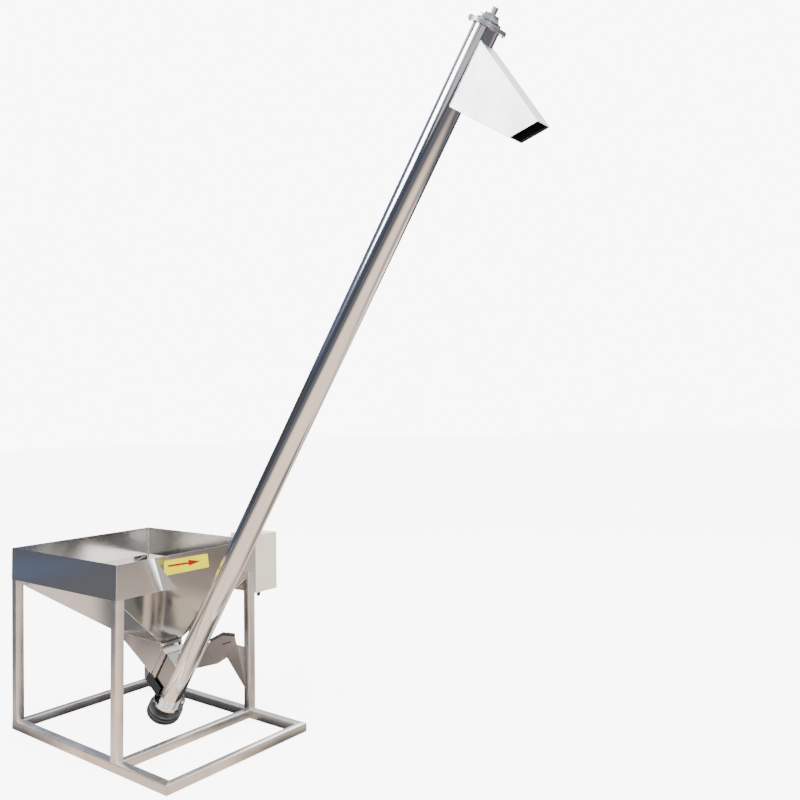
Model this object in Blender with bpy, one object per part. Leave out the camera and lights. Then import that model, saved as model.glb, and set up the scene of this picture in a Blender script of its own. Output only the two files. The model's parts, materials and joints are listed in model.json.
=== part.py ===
"""Inclined screw conveyor: floor frame with a feed hopper, a screw tube leaning out of it,
a discharge chute at the head and a drive pulley at the foot.
Metres, +Z up. The tube leans towards +X; -Y is called left, +Y right, +X front."""
import math

import bmesh
import bpy
import numpy as np
from mathutils import Vector

# Frame of square tube
TUBE_S = 0.040            # side of the square tube
TUBE_WALL = 0.002
TUBE_ROUND = 0.004        # outside corner radius
HOP_X = 0.910             # hopper and leg square, along the lean
HOP_Y = 0.740             # hopper and leg square, across
OUTRIGGER = 0.360         # base in front of the front legs
REAR_IN = 0.025           # the rear legs lean in by this much at the floor
GAP = 0.0003              # between pieces that touch

# Hopper of folded sheet
RIM_Z = 0.860
BAND_H = 0.150
SHEET = 0.002
NECK_X0, NECK_X1 = 0.405, 0.760
NECK_HALF = 0.055
NECK_Z = 0.435
RECESS_DEPTH = 0.045
RECESS_FOLD_Z = 0.690
RECESS_RIM = (0.180, 0.710)      # y of the recess at the rim
RECESS_BAND = (0.225, 0.665)     # y of the recess at the foot of the band
RECESS_FOLD = (0.330, 0.560)     # y of the recess at its fold
RECESS_NECK = 0.375              # y where the steep panel meets the neck

# Screw tube: its axis starts on the floor at AXIS_X and rises at AXIS_DEG
AXIS_X = 0.631
AXIS_DEG = 55.0
TUBE_R = 0.051
TUBE_T = 0.002
TUBE_FOOT, TUBE_HEAD = 0.205, 3.4647
TUBE_SEGS = 48

# Feed inlet on the upper side of the tube's foot
COLLAR_OUT = 0.110               # distance of its top from the tube's axis
COLLAR_H = 0.027
COLLAR_HALF = 0.061
COLLAR_T = (0.242, 0.425)
COLLAR_OPEN = (0.266, 0.385)
BOX_HALF = 0.054
BOX_T = (0.246, 0.421)
BOX_WALL = 0.0025
THROAT_WALL = 0.003
FEED_CUT_IN = 0.020              # the feed opening is cut down to this distance from the axis
FEED_CUT_HALF = 0.040

# Black cap over the inlet's lower end, a U seen along the tube's normal
CAP_THICK = 0.004
CAP_T = (0.2225, 0.270)
CAP_OUT = (0.022, 0.128)         # distances of its two edges from the axis

# Screw
SHAFT_R = 0.014
SHAFT_T = (0.108, 3.516)
SPINDLE_R, SPINDLE_END = 0.0115, 3.541       # the shaft tapers to this at its head end
FLIGHT_R = 0.0435
FLIGHT_THICK = 0.003
FLIGHT_PITCH = 0.100
FLIGHT_T = (0.225, 3.400)
FLIGHT_SEGS = 20
FLIGHT_OFF = 0.0007              # between flight and shaft
BORE_R = 0.0141                  # 0.1 mm of running clearance

# Head and foot
HEAD_PLATE_R, HEAD_PLATE_T = 0.0745, (3.465, 3.480)
FOOT_PLATE_R, FOOT_PLATE_T = 0.072, (0.190, 0.2047)
PULLEY_R, PULLEY_T = 0.079, (0.117, 0.158)
PULLEY_EDGE = 0.002
GROOVE_DEPTH, GROOVE_W = 0.014, 0.015
GROOVE_AT = (0.27, 0.73)                     # middles of the grooves, as shares of its width
GROOVE_SIDES = ((0, -0.5), (1, -0.26), (1, 0.26), (0, 0.5))      # depth and place, as shares
PULLEY_DISH = [(0.062, 0.0), (0.058, 0.016), (0.030, 0.016), (0.028, 0.004)]   # radius, depth
HEAD_HOUSING = [(0.046, 0.0), (0.046, 0.010), (0.032, 0.014), (0.026, 0.034)]  # radius, height
FOOT_HOUSING = [(0.046, 0.0), (0.046, 0.010), (0.030, 0.013), (0.028, 0.024)]

# Discharge chute, in axis lengths: (along the tube, out from its axis)
CHUTE_HALF = 0.040
CHUTE_WALL = 0.002
CHUTE_TOP = (3.4164, 0.0350)
CHUTE_LIP = (3.2647, 0.4117)
CHUTE_TOE = (3.1737, 0.3367)
CHUTE_HEEL = (3.1688, 0.0350)
CHUTE_OPEN_T = (3.178, 3.396)
CHUTE_OPEN_HALF = 0.033

# Bent bracket between tube and front right leg: (along, right of the axis plane)
BRACKET_OUT = 0.030
BRACKET_THICK = 0.004
BRACKET_EDGE = [(0.409, 0.0435), (0.566, 0.0435), (0.589, 0.111), (0.555, 0.194),
                (0.490, 0.235), (0.415, 0.210), (0.392, 0.168)]
BRACKET_LEG_Z = (0.133, 0.340)
BRACKET_LEG_IN = 0.024                   # behind the front face of the leg
SLOT = (0.526, 0.134, 0.182, 0.009)      # along, from, to, width

# Control box
MOUNT_THICK = 0.005
MOUNT_IN = 0.030                         # the plate is this much smaller on each edge
BOX_LO = Vector((0.715, HOP_Y + MOUNT_THICK + 2 * GAP, 0.595))
BOX_HI = Vector((0.910, 0.8800, 0.880))
CASE_WALL = 0.0015
LID_DEPTH = 0.012
GLAND_AT = (0.035, 0.045)                # back from the case's front, out from its back
GLAND = [(0.011, 0.0), (0.011, 0.012), (0.0085, 0.014), (0.0085, 0.026)]       # radius, drop
GLAND_SEGS = 16

AX = math.radians(AXIS_DEG)
ALONG = Vector((math.cos(AX), 0.0, math.sin(AX)))
OUT = Vector((math.sin(AX), 0.0, -math.cos(AX)))
ACROSS = Vector((0.0, 1.0, 0.0))
FOOT = Vector((AXIS_X, HOP_Y / 2, 0.0))
BAND_Z = RIM_Z - BAND_H

MATERIALS = {
    "frame_steel": ((0.62, 0.61, 0.59, 1.0), 1.0, 0.42),
    "sheet_steel": ((0.68, 0.67, 0.65, 1.0), 1.0, 0.30),
    "tube_steel": ((0.74, 0.73, 0.71, 1.0), 1.0, 0.18),
    "chute_steel": ((0.78, 0.78, 0.77, 1.0), 1.0, 0.35),
    "screw_steel": ((0.55, 0.55, 0.55, 1.0), 1.0, 0.35),
    "cast_metal": ((0.42, 0.43, 0.42, 1.0), 1.0, 0.50),
    "black_iron": ((0.03, 0.03, 0.03, 1.0), 0.4, 0.50),
    "box_paint": ((0.76, 0.73, 0.65, 1.0), 0.0, 0.45),
    "black_plastic": ((0.03, 0.03, 0.03, 1.0), 0.0, 0.50),
    "black_rubber": ((0.025, 0.025, 0.025, 1.0), 0.0, 0.65),
}


def material(name):
    """The named material, made on first use."""
    mat = bpy.data.materials.get(name)
    if mat is None:
        colour, metallic, rough = MATERIALS[name]
        mat = bpy.data.materials.new(name)
        mat.use_nodes = True
        shader = mat.node_tree.nodes["Principled BSDF"]
        shader.inputs["Base Color"].default_value = colour
        shader.inputs["Metallic"].default_value = metallic
        shader.inputs["Roughness"].default_value = rough
        mat.diffuse_color = colour
    return mat


def on_axis(t, n=0.0, y=0.0):
    """World point at t along the tube's axis, n out from it and y to the right."""
    return FOOT + ALONG * t + OUT * n + ACROSS * y


def add(name, verts, faces, slot, smooth=False, origin=None):
    """One object from points and faces, its normals made to point outwards."""
    origin = Vector((0, 0, 0)) if origin is None else origin
    mesh = bpy.data.meshes.new(name)
    mesh.from_pydata([tuple(Vector(v) - origin) for v in verts], [], faces)
    bm = bmesh.new()
    bm.from_mesh(mesh)
    bmesh.ops.remove_doubles(bm, verts=bm.verts, dist=1e-7)
    bmesh.ops.recalc_face_normals(bm, faces=bm.faces)
    if smooth:
        for face in bm.faces:
            face.smooth = True
        for edge in bm.edges:
            if len(edge.link_faces) == 2 and edge.calc_face_angle() > math.radians(35):
                edge.smooth = False
    bm.to_mesh(mesh)
    bm.free()
    mesh.materials.append(material(slot))
    obj = bpy.data.objects.new(name, mesh)
    obj.location = origin
    bpy.context.scene.collection.objects.link(obj)
    return obj


def prism(name, loop, offset, slot):
    """A flat loop of points pushed along an offset vector."""
    loop = [Vector(p) for p in loop]
    offset = Vector(offset)
    count = len(loop)
    verts = loop + [p + offset for p in loop]
    faces = [tuple(range(count)), tuple(range(2 * count - 1, count - 1, -1))]
    faces += [(i, (i + 1) % count, count + (i + 1) % count, count + i) for i in range(count)]
    return add(name, verts, faces, slot)


def cut(obj, cutters):
    """Take each cutter away from an object, then remove the cutters."""
    for cutter in cutters:
        cutter.hide_render = True
        cutter.display_type = "WIRE"
        mod = obj.modifiers.new("cut", "BOOLEAN")
        mod.operation = "DIFFERENCE"
        mod.solver = "EXACT"
        mod.object = cutter
    bpy.context.view_layer.update()
    graph = bpy.context.evaluated_depsgraph_get()
    mesh = bpy.data.meshes.new_from_object(obj.evaluated_get(graph))
    obj.modifiers.clear()
    old = obj.data
    obj.data = mesh
    bpy.data.meshes.remove(old)
    mesh.name = obj.name
    bm = bmesh.new()
    bm.from_mesh(mesh)
    bmesh.ops.remove_doubles(bm, verts=bm.verts, dist=1e-6)
    bmesh.ops.dissolve_degenerate(bm, edges=bm.edges, dist=1e-6)
    bm.to_mesh(mesh)
    bm.free()
    while len(mesh.materials) > 1:
        mesh.materials.pop()
    for cutter in cutters:
        data = cutter.data
        bpy.data.objects.remove(cutter)
        bpy.data.meshes.remove(data)
    return obj


def rounded_square(half, radius):
    """Corner points of a rounded square about the origin, three to a corner."""
    points = []
    for k in range(4):
        mid = math.radians(45 + 90 * k)
        cx = (half - radius) * (1 if k in (0, 3) else -1)
        cy = (half - radius) * (1 if k in (0, 1) else -1)
        for turn in (-45, 0, 45):
            angle = mid + math.radians(turn)
            points.append((cx + radius * math.cos(angle), cy + radius * math.sin(angle)))
    return points


def square_tube(name, start, end, slot="frame_steel", mitre=(0.0, 0.0)):
    """Open square tube between two axis points. A mitre leans an end so that the
    side given by its sign is the longer one, in the floor plane."""
    start, end = Vector(start), Vector(end)
    run = (end - start).normalized()
    side = Vector((0, 0, 1)).cross(run) if abs(run.z) < 0.5 else Vector((1, 0, 0))
    up = run.cross(side).normalized()
    half = TUBE_S / 2
    loops = []
    for point, lean in ((start, -mitre[0]), (end, mitre[1])):
        for h, r in ((half, TUBE_ROUND), (half - TUBE_WALL, TUBE_ROUND - TUBE_WALL)):
            loops.append([point + side * u + up * v + run * (u * lean)
                          for u, v in rounded_square(h, r)])
    count = len(loops[0])
    verts = [v for loop in loops for v in loop]
    faces = []
    outer0, inner0, outer1, inner1 = 0, count, 2 * count, 3 * count
    for i in range(count):
        j = (i + 1) % count
        faces.append((outer0 + i, outer0 + j, outer1 + j, outer1 + i))
        faces.append((inner0 + j, inner0 + i, inner1 + i, inner1 + j))
        faces.append((outer0 + j, outer0 + i, inner0 + i, inner0 + j))
        faces.append((outer1 + i, outer1 + j, inner1 + j, inner1 + i))
    return add(name, verts, faces, slot)


def turned(name, profile, slot, segs=TUBE_SEGS, origin=None):
    """A closed loop of (radius, along) turned about the tube's axis."""
    verts, faces = [], []
    count = len(profile)
    for k in range(segs):
        angle = 2 * math.pi * k / segs
        side = OUT * math.cos(angle) + ACROSS * math.sin(angle)
        verts += [on_axis(t) + side * r for r, t in profile]
    for k in range(segs):
        nxt = (k + 1) % segs
        for i in range(count):
            j = (i + 1) % count
            faces.append((k * count + i, k * count + j, nxt * count + j, nxt * count + i))
    return add(name, verts, faces, slot, smooth=True, origin=origin)


def rod(name, rings, slot, segs=TUBE_SEGS, origin=None):
    """A solid round bar on the tube's axis, through rings of (radius, along)."""
    verts, faces = [], []
    for radius, t in rings:
        for k in range(segs):
            angle = 2 * math.pi * k / segs
            verts.append(on_axis(t) + (OUT * math.cos(angle) + ACROSS * math.sin(angle)) * radius)
    for ring in range(len(rings) - 1):
        low, high = segs * ring, segs * (ring + 1)
        for k in range(segs):
            nxt = (k + 1) % segs
            faces.append((low + k, low + nxt, high + nxt, high + k))
    faces.append(tuple(range(segs - 1, -1, -1)))
    faces.append(tuple(range(segs * (len(rings) - 1), segs * len(rings))))
    return add(name, verts, faces, slot, smooth=True, origin=origin)


def tube_cutter():
    """A rod a little thicker than the screw tube, to fit plates on it."""
    return rod("cutter_tube", [(TUBE_R + GAP, 0.0), (TUBE_R + GAP, TUBE_HEAD + 0.5)], "tube_steel")


def inner_points(points, faces, thick, level):
    """Each outside point moved inwards so that every sheet next to it is 'thick'."""
    moved = {}
    centre = np.array([(NECK_X0 + NECK_X1) / 2, HOP_Y / 2, RIM_Z])
    normals = {name: [] for name in points}
    for loop in faces:
        p = [np.array(points[name]) for name in loop]
        normal = np.cross(p[1] - p[0], p[2] - p[0])
        normal = normal / np.linalg.norm(normal)
        if normal @ (centre - p[0]) < 0:
            normal = -normal
        for name in loop:
            normals[name].append(normal)
    for name, rows in normals.items():
        rows, wants = list(rows), [thick] * len(rows)
        if name in level:
            rows.append(np.array([0.0, 0.0, 1.0]))
            wants.append(0.0)
        shift = np.linalg.lstsq(np.array(rows), np.array(wants), rcond=0.02)[0]
        moved[name] = np.array(points[name]) + shift
    return moved


def sheet_piece(name, points, inner, faces, nudge, slot):
    """A folded sheet between outside and inside points, closed along its edges.
    'nudge' moves named points a little so that neighbours keep their gap."""
    names = sorted({n for loop in faces for n in loop})
    index = {n: i for i, n in enumerate(names)}
    shift = {n: np.array(nudge.get(n, (0.0, 0.0, 0.0))) for n in names}
    verts = [np.array(points[n]) + shift[n] for n in names]
    verts += [inner[n] + shift[n] for n in names]
    count = len(names)
    solid, edges = [], {}
    for loop in faces:
        ids = [index[n] for n in loop]
        solid.append(tuple(ids))
        solid.append(tuple(i + count for i in reversed(ids)))
        for i, j in zip(ids, ids[1:] + ids[:1]):
            key = (min(i, j), max(i, j))
            edges[key] = edges.get(key, 0) + 1
    for (i, j), uses in edges.items():
        if uses == 1:
            solid.append((i, j, j + count, i + count))
    return add(name, verts, solid, slot)


def build_frame():
    """Floor frame: four mitred rails, a crossbar under the front legs and four legs."""
    half = TUBE_S / 2
    rear, front = REAR_IN + half, HOP_X + OUTRIGGER - half
    side_g = GAP / 2
    square_tube("base_rail_left", (rear + side_g, half, half), (front - side_g, half, half),
                mitre=(-1, -1))
    square_tube("base_rail_right", (front - side_g, HOP_Y - half, half),
                (rear + side_g, HOP_Y - half, half), mitre=(-1, -1))
    square_tube("base_rail_rear", (rear, HOP_Y - half - side_g, half), (rear, half + side_g, half),
                mitre=(-1, -1))
    square_tube("base_rail_front", (front, half + side_g, half),
                (front, HOP_Y - half - side_g, half), mitre=(-1, -1))
    square_tube("base_crossbar", (HOP_X - half, TUBE_S + GAP, half),
                (HOP_X - half, HOP_Y - TUBE_S - GAP, half))
    for end, foot_x, top_x in (("rear", rear, half), ("front", HOP_X - half, HOP_X - half)):
        for side, y in (("left", half), ("right", HOP_Y - half)):
            leg = square_tube("leg_%s_%s" % (end, side), (foot_x, y, TUBE_S + GAP),
                              (top_x, y, BAND_Z - GAP))
            cut(leg, [funnel_cutter()])


def funnel_cutter():
    """The hopper's funnel as a solid, lowered by a gap and drawn on past the band."""
    low, high = [], []
    rim = [(0, 0), (HOP_X, 0), (HOP_X, HOP_Y), (0, HOP_Y)]
    neck = [(NECK_X0, HOP_Y / 2 - NECK_HALF), (NECK_X1, HOP_Y / 2 - NECK_HALF),
            (NECK_X1, HOP_Y / 2 + NECK_HALF), (NECK_X0, HOP_Y / 2 + NECK_HALF)]
    for (rx, ry), (nx, ny) in zip(rim, neck):
        bottom = Vector((nx, ny, NECK_Z - 2 * GAP))
        top = Vector((rx, ry, BAND_Z - 2 * GAP))
        low.append(bottom)
        high.append(bottom + (top - bottom) * 1.1)
    faces = [(0, 1, 2, 3), (7, 6, 5, 4)]
    faces += [(i, (i + 1) % 4, 4 + (i + 1) % 4, 4 + i) for i in range(4)]
    return add("cutter_funnel", low + high, faces, "sheet_steel")


def build_hopper():
    """Hopper: four folded sheets, the front one with a shallow recess."""
    y0, y1 = HOP_Y / 2 - NECK_HALF, HOP_Y / 2 + NECK_HALF
    fold_x = HOP_X - RECESS_DEPTH
    p = {
        "R0": (0, 0, RIM_Z), "R1": (HOP_X, 0, RIM_Z), "R2": (HOP_X, HOP_Y, RIM_Z),
        "R3": (0, HOP_Y, RIM_Z), "A1": (HOP_X, RECESS_RIM[0], RIM_Z),
        "A2": (HOP_X, RECESS_RIM[1], RIM_Z),
        "B0": (0, 0, BAND_Z), "B1": (HOP_X, 0, BAND_Z), "B2": (HOP_X, HOP_Y, BAND_Z),
        "B3": (0, HOP_Y, BAND_Z), "D1": (HOP_X, RECESS_BAND[0], BAND_Z),
        "D2": (HOP_X, RECESS_BAND[1], BAND_Z),
        "C1": (fold_x, RECESS_FOLD[0], RECESS_FOLD_Z), "C2": (fold_x, RECESS_FOLD[1], RECESS_FOLD_Z),
        "N0": (NECK_X0, y0, NECK_Z), "N1": (NECK_X1, y0, NECK_Z), "N2": (NECK_X1, y1, NECK_Z),
        "N3": (NECK_X0, y1, NECK_Z), "E1": (NECK_X1, RECESS_NECK, NECK_Z),
    }
    sides = {
        "hopper_rear": [("R3", "R0", "B0", "B3"), ("B3", "B0", "N0", "N3")],
        "hopper_left": [("R0", "R1", "B1", "B0"), ("B0", "B1", "N1", "N0")],
        "hopper_right": [("R2", "R3", "B3", "B2"), ("B2", "B3", "N3", "N2")],
        "hopper_front": [
            ("R1", "A1", "D1", "B1"), ("A2", "R2", "B2", "D2"),
            ("A1", "A2", "C2", "C1"), ("A1", "C1", "D1"), ("A2", "D2", "C2"),
            ("B1", "D1", "N1"), ("D2", "B2", "N2"),
            ("D1", "C1", "N1"), ("C1", "E1", "N1"), ("C1", "C2", "N2", "E1"), ("D2", "N2", "C2")],
    }
    every = [loop for loops in sides.values() for loop in loops]
    level = {n for n in p if n[0] in "RANE"}
    inner = inner_points(p, every, SHEET, level)
    g = GAP * 0.75
    ends = {
        "hopper_rear": (("R0", "B0", "N0"), (0, g, 0), ("R3", "B3", "N3"), (0, -g, 0)),
        "hopper_left": (("R0", "B0", "N0"), (g, 0, 0), ("R1", "B1", "N1"), (-g, 0, 0)),
        "hopper_right": (("R3", "B3", "N3"), (g, 0, 0), ("R2", "B2", "N2"), (-g, 0, 0)),
        "hopper_front": (("R1", "B1", "N1"), (0, g, 0), ("R2", "B2", "N2"), (0, -g, 0)),
    }
    for name, loops in sides.items():
        first, move1, second, move2 = ends[name]
        nudge = {n: move1 for n in first}
        nudge.update({n: move2 for n in second})
        sheet_piece(name, p, inner, loops, nudge, "sheet_steel")


def top_plane_z(x, lift=GAP):
    """Height over x of the plane on which the throat stands, tilted with the tube."""
    n = -(COLLAR_OUT + lift)
    t = (x - AXIS_X - OUT.x * n) / ALONG.x
    return on_axis(t, n).z


def meet(p, d, q, e):
    """Where the lines p + s d and q + u e cross, in the x-z plane."""
    det = d[0] * -e[1] + e[0] * d[1]
    s = ((q[0] - p[0]) * -e[1] + e[0] * (q[1] - p[1])) / det
    return p[0] + s * d[0], p[1] + s * d[1]


def build_throat():
    """Throat from the level neck to the tilted inlet: two sides, a slope and a front."""
    y_out = NECK_HALF
    top = NECK_Z - GAP
    low_t = COLLAR_OPEN[0] - 0.004
    low = on_axis(low_t, -(COLLAR_OUT + GAP))
    front_z = top_plane_z(NECK_X1)
    for name, y in (("throat_side_left", HOP_Y / 2 - y_out),
                    ("throat_side_right", HOP_Y / 2 + y_out - THROAT_WALL)):
        loop = [(NECK_X0, y, top), (low.x, y, low.z), (NECK_X1, y, front_z), (NECK_X1, y, top)]
        prism(name, loop, (0, THROAT_WALL, 0), "sheet_steel")
    y_in = HOP_Y / 2 - y_out + THROAT_WALL + GAP
    width = 2 * (y_out - THROAT_WALL - GAP)
    run = (low.x - NECK_X0, low.z - top)
    size = math.hypot(*run)
    lift = (-run[1] / size * THROAT_WALL, run[0] / size * THROAT_WALL)
    start = (NECK_X0 + lift[0], top + lift[1])
    plane = (ALONG.x, ALONG.z)
    upper = meet(start, run, (0, top), (1, 0))
    lower = meet(start, run, (low.x, low.z), plane)
    loop = [(NECK_X0, y_in, top), (low.x, y_in, low.z), (lower[0], y_in, lower[1]),
            (upper[0], y_in, upper[1])]
    prism("throat_slope", loop, (0, width, 0), "sheet_steel")
    x_in = NECK_X1 - THROAT_WALL
    loop = [(x_in, y_in, top_plane_z(x_in)), (NECK_X1, y_in, front_z),
            (NECK_X1, y_in, top), (x_in, y_in, top)]
    prism("throat_front", loop, (0, width, 0), "sheet_steel")


def frame_ring(name, t_out, half_out, t_in, half_in, n0, n1, slot):
    """A rectangular frame round the inlet, between two distances from the axis."""
    verts, faces = [], []
    for n in (n0, n1):
        for (t0, t1), half in ((t_out, half_out), (t_in, half_in)):
            verts += [on_axis(t, n, y) for t, y in ((t0, -half), (t1, -half), (t1, half), (t0, half))]
    for i in range(4):
        j = (i + 1) % 4
        faces += [(i, j, 8 + j, 8 + i), (4 + j, 4 + i, 12 + i, 12 + j),
                  (j, i, 4 + i, 4 + j), (8 + i, 8 + j, 12 + j, 12 + i)]
    return add(name, verts, faces, slot)


def build_inlet():
    """Inlet collar, the box that joins it to the tube, and the cap on its lower end."""
    frame_ring("inlet_collar", COLLAR_T, COLLAR_HALF, COLLAR_OPEN, NECK_HALF - THROAT_WALL,
               -COLLAR_OUT, -(COLLAR_OUT - COLLAR_H), "sheet_steel")
    wall = BOX_WALL
    box = frame_ring("inlet_box", BOX_T, BOX_HALF, (BOX_T[0] + wall, BOX_T[1] - wall),
                     BOX_HALF - wall, -(COLLAR_OUT - COLLAR_H - GAP), 0.0, "sheet_steel")
    cut(box, [tube_cutter()])
    inside = COLLAR_HALF + GAP
    outside = inside + CAP_THICK
    low, high = CAP_T
    wall = low + CAP_THICK
    loop = [(low, -outside), (high, -outside), (high, -inside), (wall, -inside),
            (wall, inside), (high, inside), (high, outside), (low, outside)]
    cap = prism("inlet_end_cap", [on_axis(t, -CAP_OUT[0], y) for t, y in loop],
                OUT * (CAP_OUT[0] - CAP_OUT[1]), "black_rubber")
    cut(cap, [tube_cutter()])


def block(name, t, n, half, slot="tube_steel"):
    """A plain block in axis lengths, for cutting."""
    loop = [on_axis(t[0], n[0], -half), on_axis(t[1], n[0], -half),
            on_axis(t[1], n[1], -half), on_axis(t[0], n[1], -half)]
    return prism(name, loop, (0, 2 * half, 0), slot)


def build_tube():
    """The screw tube with its feed and discharge openings."""
    profile = [(TUBE_R, TUBE_FOOT), (TUBE_R, TUBE_HEAD),
               (TUBE_R - TUBE_T, TUBE_HEAD), (TUBE_R - TUBE_T, TUBE_FOOT)]
    tube = turned("screw_tube", profile, "tube_steel")
    cut(tube, [block("cutter_feed", (COLLAR_OPEN[0] + 0.004, COLLAR_OPEN[1] + 0.015),
                     (-0.2, -FEED_CUT_IN), FEED_CUT_HALF),
               block("cutter_discharge", CHUTE_OPEN_T, (0.015, 0.2), CHUTE_OPEN_HALF)])


def build_ends():
    """Plates and bearings that close the tube and carry the screw."""
    r, (t0, t1) = HEAD_PLATE_R, HEAD_PLATE_T
    turned("head_plate", [(r, t0), (r, t1), (BORE_R, t1), (BORE_R, t0)], "cast_metal")
    profile = [(r, t1 + GAP + h) for r, h in HEAD_HOUSING]
    profile += [(BORE_R, profile[-1][1]), (BORE_R, t1 + GAP)]
    turned("head_bearing", profile, "cast_metal")
    r, (t0, t1) = FOOT_PLATE_R, FOOT_PLATE_T
    turned("foot_plate", [(r, t0), (r, t1), (BORE_R, t1), (BORE_R, t0)], "tube_steel")
    profile = [(r, t0 - GAP - h) for r, h in FOOT_HOUSING]
    profile += [(BORE_R, profile[-1][1]), (BORE_R, t0 - GAP)]
    turned("foot_bearing", profile, "cast_metal")


def build_screw():
    """Shaft, flight and drive pulley, which turn together."""
    origin = on_axis(0.0)
    rod("screw_shaft", [(SHAFT_R, SHAFT_T[0]), (SHAFT_R, SHAFT_T[1]), (SPINDLE_R, SHAFT_T[1]),
                        (SPINDLE_R, SPINDLE_END)], "screw_steel", origin=origin)
    turns = (FLIGHT_T[1] - FLIGHT_T[0] - FLIGHT_THICK) / FLIGHT_PITCH
    rings = int(round(turns * FLIGHT_SEGS))
    verts, faces = [], []
    inner = SHAFT_R + FLIGHT_OFF
    for k in range(rings + 1):
        angle = 2 * math.pi * turns * k / rings
        t = FLIGHT_T[0] + FLIGHT_PITCH * turns * k / rings
        side = OUT * math.cos(angle) + ACROSS * math.sin(angle)
        for r, lift in ((inner, 0), (FLIGHT_R, 0), (FLIGHT_R, FLIGHT_THICK), (inner, FLIGHT_THICK)):
            verts.append(on_axis(t + lift) + side * r)
    for k in range(rings):
        a, b = 4 * k, 4 * (k + 1)
        faces += [(a + i, a + (i + 1) % 4, b + (i + 1) % 4, b + i) for i in range(4)]
    faces += [(3, 2, 1, 0), tuple(4 * rings + i for i in range(4))]
    add("screw_flight", verts, faces, "screw_steel", smooth=True, origin=origin)
    t0, t1 = PULLEY_T
    bore = SHAFT_R + GAP
    edge = PULLEY_EDGE
    profile = [(bore, t0), (PULLEY_R - edge, t0), (PULLEY_R, t0 + edge)]
    for share in GROOVE_AT:
        mid = t0 + (t1 - t0) * share
        profile += [(PULLEY_R - GROOVE_DEPTH * d, mid + GROOVE_W * off) for d, off in GROOVE_SIDES]
    profile += [(PULLEY_R, t1 - edge), (PULLEY_R - edge, t1)]
    profile += [(r, t1 - depth) for r, depth in PULLEY_DISH]
    profile.append((bore, profile[-1][1]))
    turned("drive_pulley", profile, "black_iron", origin=origin)


def build_chute():
    """Discharge chute: two sides, a roof and a floor."""
    corners = [CHUTE_TOP, CHUTE_LIP, CHUTE_TOE, CHUTE_HEEL]
    for name, y in (("chute_side_left", -CHUTE_HALF), ("chute_side_right", CHUTE_HALF - CHUTE_WALL)):
        prism(name, [on_axis(t, n, y) for t, n in corners], (0, CHUTE_WALL, 0), "chute_steel")
    half = CHUTE_HALF - CHUTE_WALL - GAP
    run = (CHUTE_LIP[0] - CHUTE_TOP[0], CHUTE_LIP[1] - CHUTE_TOP[1])
    size = math.hypot(*run)
    inward = (-run[1] / size * CHUTE_WALL, run[0] / size * CHUTE_WALL)
    mouth = (CHUTE_LIP[0] - CHUTE_TOE[0], CHUTE_LIP[1] - CHUTE_TOE[1])
    start = (CHUTE_TOP[0] + inward[0], CHUTE_TOP[1] + inward[1])
    lip = meet(start, run, CHUTE_TOE, mouth)
    loop = [CHUTE_TOP, CHUTE_LIP, lip, start]
    roof = prism("chute_roof", [on_axis(t, n, -half) for t, n in loop], (0, 2 * half, 0),
                 "chute_steel")
    cut(roof, [tube_cutter()])
    run = (CHUTE_TOE[0] - CHUTE_HEEL[0], CHUTE_TOE[1] - CHUTE_HEEL[1])
    start = (CHUTE_HEEL[0] + CHUTE_WALL, CHUTE_HEEL[1])
    toe = meet(start, run, CHUTE_TOE, mouth)
    loop = [CHUTE_HEEL, CHUTE_TOE, toe, start]
    floor = prism("chute_floor", [on_axis(t, n, -half) for t, n in loop], (0, 2 * half, 0),
                  "chute_steel")
    cut(floor, [tube_cutter()])


def build_bracket():
    """Bent bracket: a slotted plate on the tube's right side and a web to the leg."""
    plate = [on_axis(t, BRACKET_OUT, y) for t, y in BRACKET_EDGE]
    bend_top, bend_low = plate[4], plate[5]
    leg_y = HOP_Y - TUBE_S - GAP
    leg_x = HOP_X - BRACKET_LEG_IN
    leg_low = Vector((leg_x, leg_y, BRACKET_LEG_Z[0]))
    leg_top = Vector((leg_x, leg_y, BRACKET_LEG_Z[1]))
    names = ["P%d" % i for i in range(len(plate))] + ["Q0", "Q1"]
    points = dict(zip(names, [tuple(v) for v in plate + [leg_low, leg_top]]))
    web = (bend_low - bend_top).cross(leg_low - bend_top).normalized()
    if web.dot(OUT) < 0:
        web = -web
    both = OUT + (web - OUT * web.dot(OUT)) * (1 - web.dot(OUT)) / (1 - web.dot(OUT) ** 2)
    inner = {}
    for i, name in enumerate(names):
        move = both if name in ("P4", "P5") else web if name[0] == "Q" else OUT
        if name[0] == "Q":
            move = Vector((move.x, 0, move.z)) / (move.x ** 2 + move.z ** 2)
        inner[name] = np.array(points[name]) + np.array(move) * BRACKET_THICK
    faces = [("P0", "P1", "P2", "P3", "P4", "P5", "P6"), ("P4", "Q1", "Q0"), ("P4", "Q0", "P5")]
    bracket = sheet_piece("motor_bracket", points, inner, faces, {}, "sheet_steel")
    t, y0, y1, wide = SLOT
    loop = [on_axis(t - wide / 2, 0.0, y0), on_axis(t + wide / 2, 0.0, y0),
            on_axis(t + wide / 2, 0.0, y1), on_axis(t - wide / 2, 0.0, y1)]
    cut(bracket, [prism("cutter_slot", loop, OUT * 0.06, "tube_steel")])


def pan(name, lo, hi, y_back, y_open, wall):
    """An open pan of sheet: its back at one y, its mouth at the other."""
    inside = y_back + wall * (1 if y_open > y_back else -1)
    verts = []
    for y, inset in ((y_back, 0.0), (y_open, 0.0), (y_open, wall), (inside, wall)):
        verts += [(lo.x + inset, y, lo.z + inset), (hi.x - inset, y, lo.z + inset),
                  (hi.x - inset, y, hi.z - inset), (lo.x + inset, y, hi.z - inset)]
    faces = [(0, 1, 2, 3), (15, 14, 13, 12)]
    for ring in range(3):
        a, b = 4 * ring, 4 * (ring + 1)
        faces += [(a + i, a + (i + 1) % 4, b + (i + 1) % 4, b + i) for i in range(4)]
    return add(name, verts, faces, "box_paint")


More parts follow.
